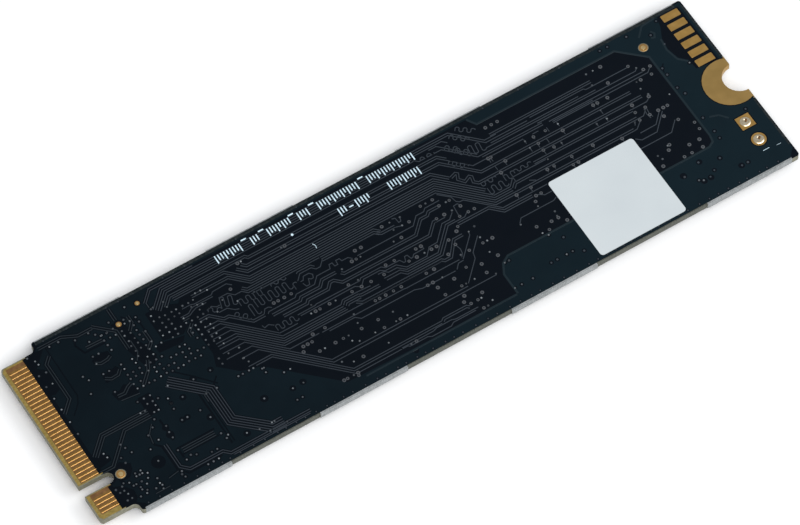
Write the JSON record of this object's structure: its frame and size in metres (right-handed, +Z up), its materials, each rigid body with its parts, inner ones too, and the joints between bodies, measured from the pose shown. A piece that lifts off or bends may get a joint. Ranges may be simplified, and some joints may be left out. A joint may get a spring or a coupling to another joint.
{
  "type": "solid state drive",
  "caption": "Bare narrow circuit card solid state drive with a notched gold edge connector, a half-round screw seat, gold test pads and flash packages on one side.",
  "frame": {"origin": "centre of the card's outline, in the plane that the card rests on, which is the tops of its flash packages", "axes": "+X along the card from the edge connector to the screw seat, +Z up out of the side without chips, and the key notch at -Y"},
  "size_m": [0.08, 0.022, 0.0021],
  "materials": {
    "board_laminate": "routed glass-fibre laminate",
    "solder_mask": "semi-gloss dark blue-black film",
    "contact_gold": "satin hard gold",
    "pad_gold": "matte immersion gold",
    "white_sticker": "matte white film",
    "package_substrate": "satin dark green",
    "mould_compound": "matte black with fine grain",
    "ferrite": "matte dark grey",
    "crystal_lid": "satin plated metal",
    "crystal_ceramic": "dark ceramic",
    "capacitor_ceramic": "tan ceramic with tinned ends"
  },
  "bodies": {
    "root": {"back_edge_contacts_key_side": "contact_gold", "back_edge_contacts_main": "contact_gold", "blank_sticker": "white_sticker", "board_laminate": "board_laminate", "configuration_memory": "mould_compound", "controller_mould": "mould_compound", "controller_substrate": "package_substrate", "crystal_base": "crystal_ceramic", "crystal_lid": "crystal_lid", "fiducial_connector_end": "pad_gold", "fiducial_screw_end": "pad_gold", "flash_capacitor_1": "capacitor_ceramic", "flash_capacitor_2": "capacitor_ceramic", "flash_capacitor_3": "capacitor_ceramic", "flash_package_1_mould": "mould_compound", "flash_package_1_substrate": "package_substrate", "flash_package_2_mould": "mould_compound", "flash_package_2_substrate": "package_substrate", "flash_package_3_mould": "mould_compound", "flash_package_3_substrate": "package_substrate", "flash_package_4_mould": "mould_compound", "flash_package_4_substrate": "package_substrate", "front_edge_contacts_key_side": "contact_gold", "front_edge_contacts_main": "contact_gold", "header_hole_round": "pad_gold", "header_hole_square": "pad_gold", "input_capacitor_1": "capacitor_ceramic", "input_capacitor_2": "capacitor_ceramic", "load_switch": "mould_compound", "output_capacitor_1": "capacitor_ceramic", "output_capacitor_2": "capacitor_ceramic", "output_capacitor_3": "capacitor_ceramic", "power_inductor_1": "ferrite", "power_inductor_2": "ferrite", "power_inductor_3": "ferrite", "power_management_chip": "mould_compound", "screw_seat_ring_back": "pad_gold", "screw_seat_ring_front": "pad_gold", "solder_mask_back": "solder_mask", "solder_mask_front": "solder_mask", "test_pad_1": "pad_gold", "test_pad_2": "pad_gold", "test_pad_3": "pad_gold", "test_pad_4": "pad_gold", "test_pad_5": "pad_gold", "test_pad_6": "pad_gold", "tooling_dot_1": "pad_gold", "tooling_dot_2": "pad_gold"}
  },
  "joints": []
}
